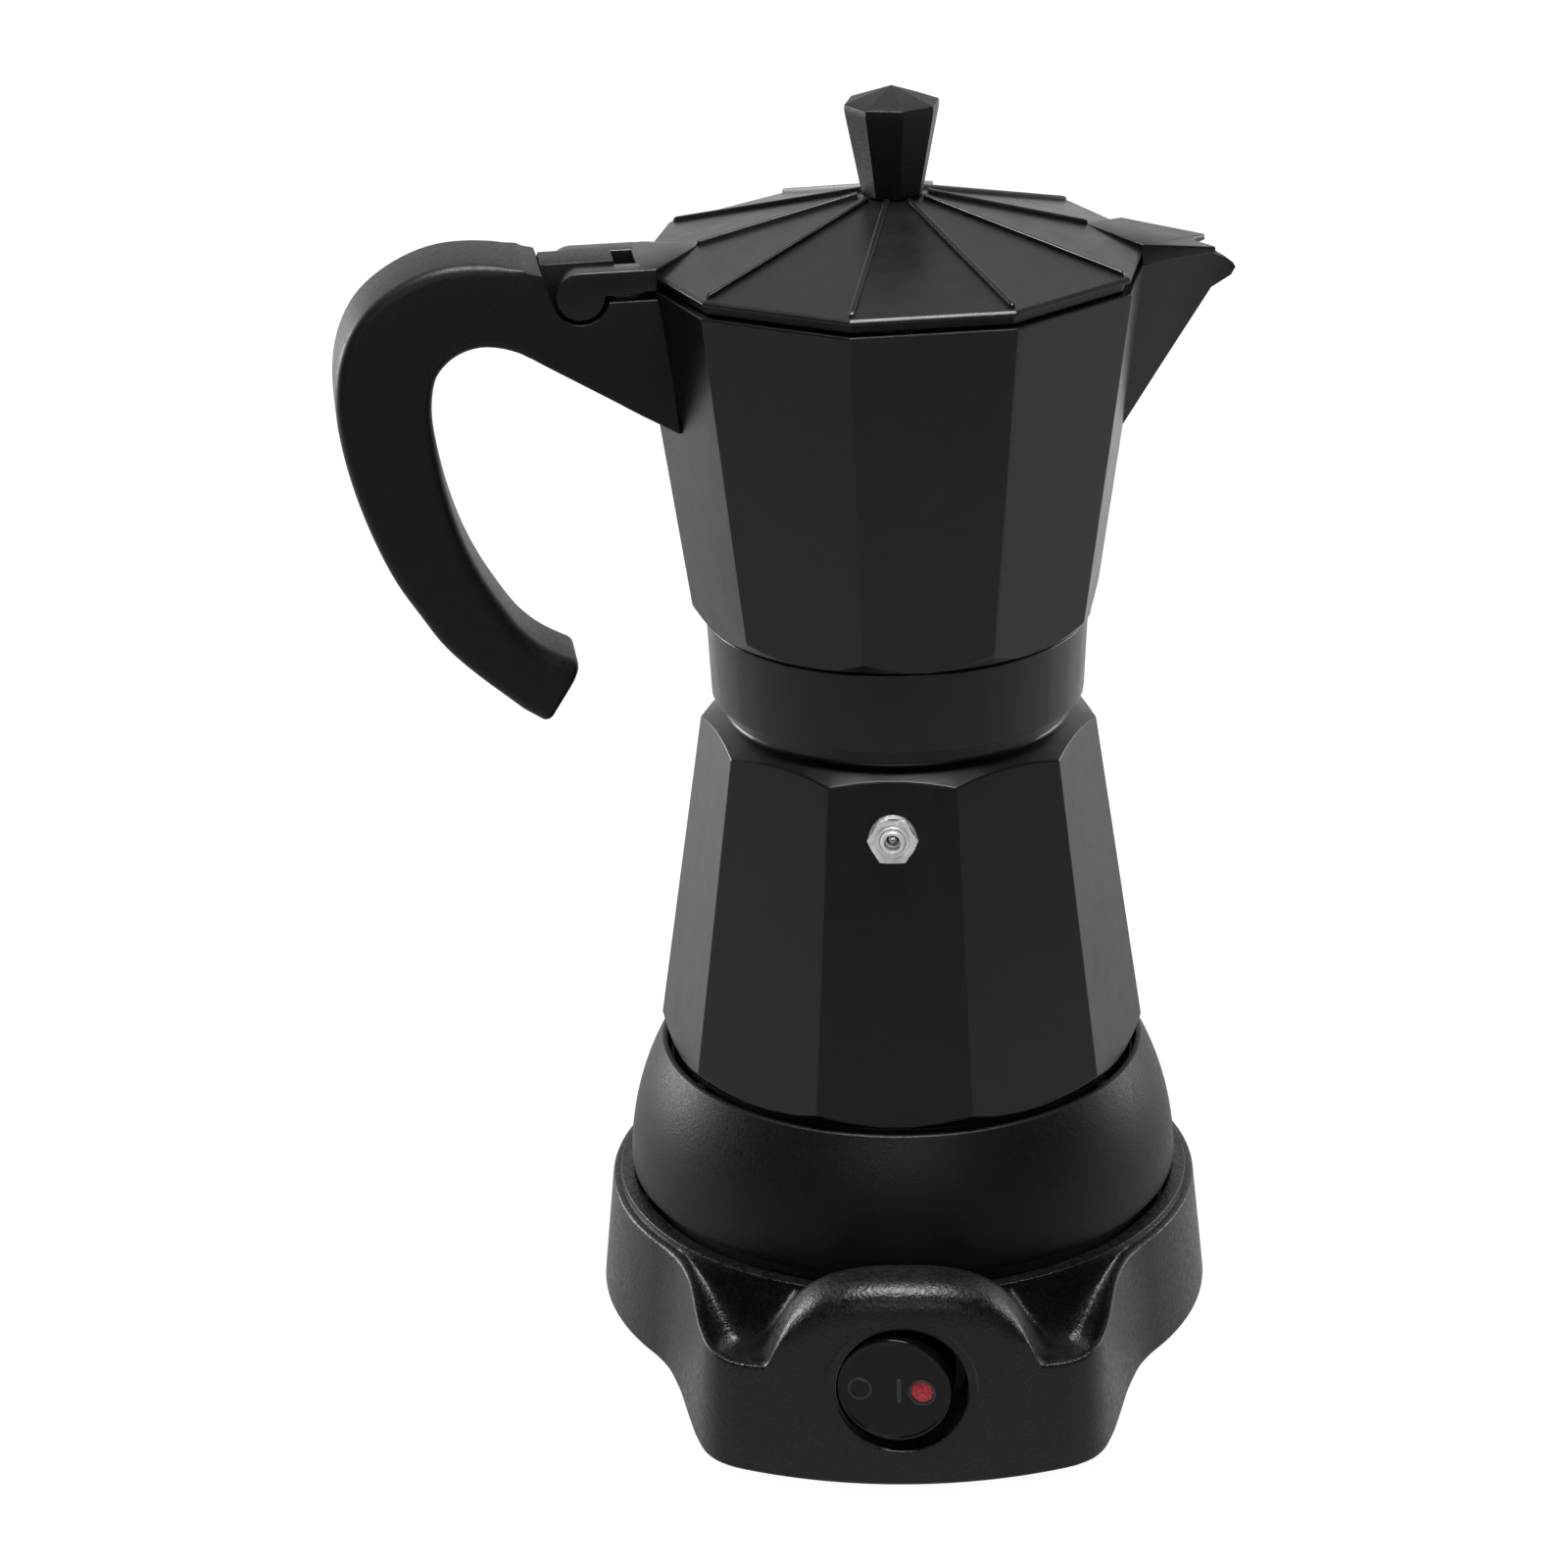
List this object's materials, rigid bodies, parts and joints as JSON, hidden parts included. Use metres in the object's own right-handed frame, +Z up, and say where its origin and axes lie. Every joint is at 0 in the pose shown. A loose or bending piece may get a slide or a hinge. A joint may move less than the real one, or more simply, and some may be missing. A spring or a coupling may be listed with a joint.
{
  "type": "moka pot",
  "caption": "Black ten-sided electric moka pot with a dome-shaped heated foot on a round swivel base; boiler, filter funnel, screw-on coffee chamber, hinged lid and C-shaped handle.",
  "frame": {"origin": "on the pot's axis, at the surface that the rubber feet stand on", "axes": "+Z up along the pot's axis; -Y towards the switch on the base's nose and the safety valve; the spout points to +X and the handle to -X, turned 9 degrees about +Z"},
  "size_m": [0.1829, 0.1612, 0.2676],
  "materials": {
    "coated_metal": "satin black coated aluminium",
    "housing_plastic": "fine-grained matte black plastic",
    "base_plastic": "spark-textured black plastic",
    "handle_plastic": "fine-grained matte black plastic",
    "gloss_black": "polished black plastic",
    "dark_plastic": "plain black plastic",
    "red_lens": "translucent red lens with a grained back",
    "chrome": "bright chrome-plated brass",
    "bare_aluminium": "bare satin aluminium",
    "steel": "plain stainless steel",
    "contact_brass": "bare brass contacts",
    "seal_rubber": "off-white silicone",
    "foot_rubber": "black rubber",
    "ceramic_white": "off-white ceramic"
  },
  "bodies": {
    "base": {"rubber_feet": "foot_rubber", "base_cover": "dark_plastic", "base_screws": "steel", "base_shell": "base_plastic", "cord_gland": "foot_rubber", "power_socket": "dark_plastic", "socket_contacts": "contact_brass", "switch_housing": "dark_plastic", "switch_terminals": "contact_brass"},
    "rocker": {"rocker": "gloss_black", "lamp_lens": "red_lens"},
    "connector": {"pot_plug": "dark_plastic", "plug_contacts": "contact_brass"},
    "boiler": {"boiler": "coated_metal", "housing_cover": "dark_plastic", "cover_screws": "steel", "heater_housing": "housing_plastic", "housing_screws": "steel", "heating_element": "bare_aluminium", "thermostat": "ceramic_white", "thermal_fuse": "ceramic_white", "valve_washer": "bare_aluminium", "valve_body": "chrome", "valve_spring": "steel"},
    "valve": {"valve_pin": "steel"},
    "funnel": {"funnel": "bare_aluminium", "funnel_strainer": "steel"},
    "gasket": {"gasket": "seal_rubber"},
    "filter": {"filter_plate": "steel"},
    "chamber": {"upper_chamber": "coated_metal", "coffee_column": "bare_aluminium", "handle": "handle_plastic", "handle_screw": "steel", "hinge_pin": "steel"},
    "lid": {"lid": "coated_metal", "lid_knob": "handle_plastic", "knob_screw": "steel"}
  },
  "joints": [
    {"name": "rocker_tilt", "type": "hinge", "parent": "base", "child": "rocker", "pos_m": [0, -0.0841, 0.0227], "axis": [0, 0, 1], "range_deg": [0, 16]},
    {"name": "pot_lift", "type": "slide", "parent": "base", "child": "connector", "axis": [0, 0, 1], "range_m": [0, 0.12]},
    {"name": "pot_swivel", "type": "hinge", "parent": "connector", "child": "boiler", "pos_m": [0, 0, 0.03], "axis": [0, 0, 1], "continuous": true},
    {"name": "valve_pop", "type": "slide", "parent": "boiler", "child": "valve", "axis": [0, -0.9902, 0.14], "range_m": [0, 0.001], "stiffness_N_per_m": 800, "springref_m": -0.001, "deforming": ["valve_spring"]},
    {"name": "funnel_lift", "type": "slide", "parent": "boiler", "child": "funnel", "axis": [0, 0, 1], "range_m": [0, 0.09]},
    {"name": "upper_lift", "type": "slide", "parent": "funnel", "child": "gasket", "axis": [0, 0, 1], "range_m": [0, 0.06]},
    {"name": "upper_rise", "type": "slide", "parent": "gasket", "child": "filter", "axis": [0, 0, 1], "range_m": [0, 0.0121]},
    {"name": "upper_unscrew", "type": "hinge", "parent": "filter", "child": "chamber", "pos_m": [0, 0, 0.15], "axis": [0, 0, 1], "range_deg": [0, 1080]},
    {"name": "lid_hinge", "type": "hinge", "parent": "chamber", "child": "lid", "pos_m": [-0.06351, -0.01006, 0.2308], "axis": [0.1564, -0.9877, 0], "range_deg": [0, 105]}
  ],
  "couplings": [
    {"joint": "upper_rise", "follows": "upper_unscrew", "m_per_rad": 0.00063662}
  ]
}
